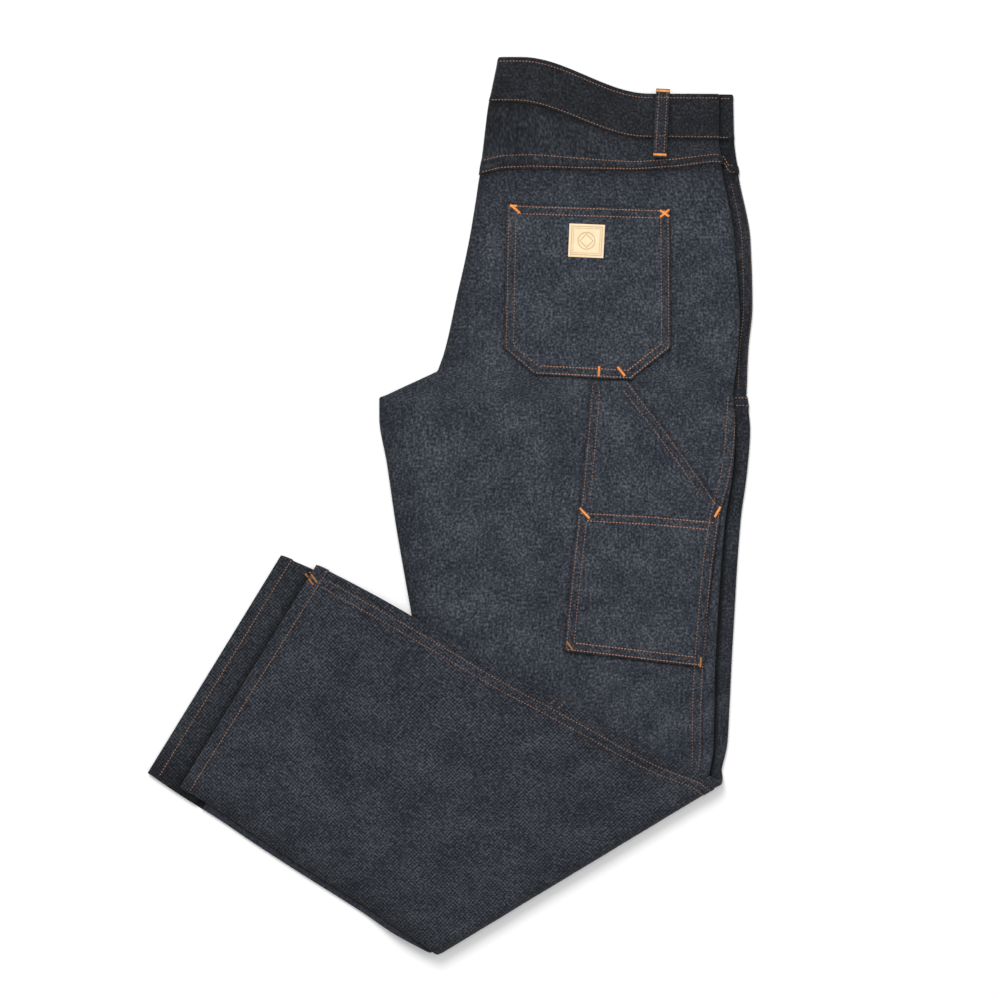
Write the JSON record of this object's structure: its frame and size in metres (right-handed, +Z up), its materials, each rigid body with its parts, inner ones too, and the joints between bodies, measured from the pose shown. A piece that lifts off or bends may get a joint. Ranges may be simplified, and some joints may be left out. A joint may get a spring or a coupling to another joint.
{
  "type": "carpenter pants",
  "caption": "Folded denim carpenter pants lying back side up, legs folded up across the knee, with back pocket, tool pocket, belt loop and waistband.",
  "frame": {"origin": "centre of the object's footprint, on the surface that it lies on", "axes": "+Z up from the surface, +Y towards the waistband, +X towards the side seams"},
  "size_m": [0.5483, 0.8116, 0.0214],
  "materials": {
    "denim": "raw indigo denim twill, right side out, with fine light flecks",
    "thread": "copper-brown topstitching and bright orange bar tacks",
    "label": "cream patch with a plain thin brown frame"
  },
  "bodies": {
    "root": {"waistband": "denim", "belt_loop": "denim", "yoke_right": "denim", "yoke_left": "denim", "back_right": "denim", "back_left": "denim", "front_left_hip": "denim", "knee_panel_right": "denim", "knee_panel_left": "denim", "front_right_shin": "denim", "front_left_shin": "denim", "inner_layers": "denim", "back_pocket": "denim", "pocket_label": "label", "tool_pocket_upper": "denim", "tool_pocket_lower": "denim"}
  },
  "joints": []
}
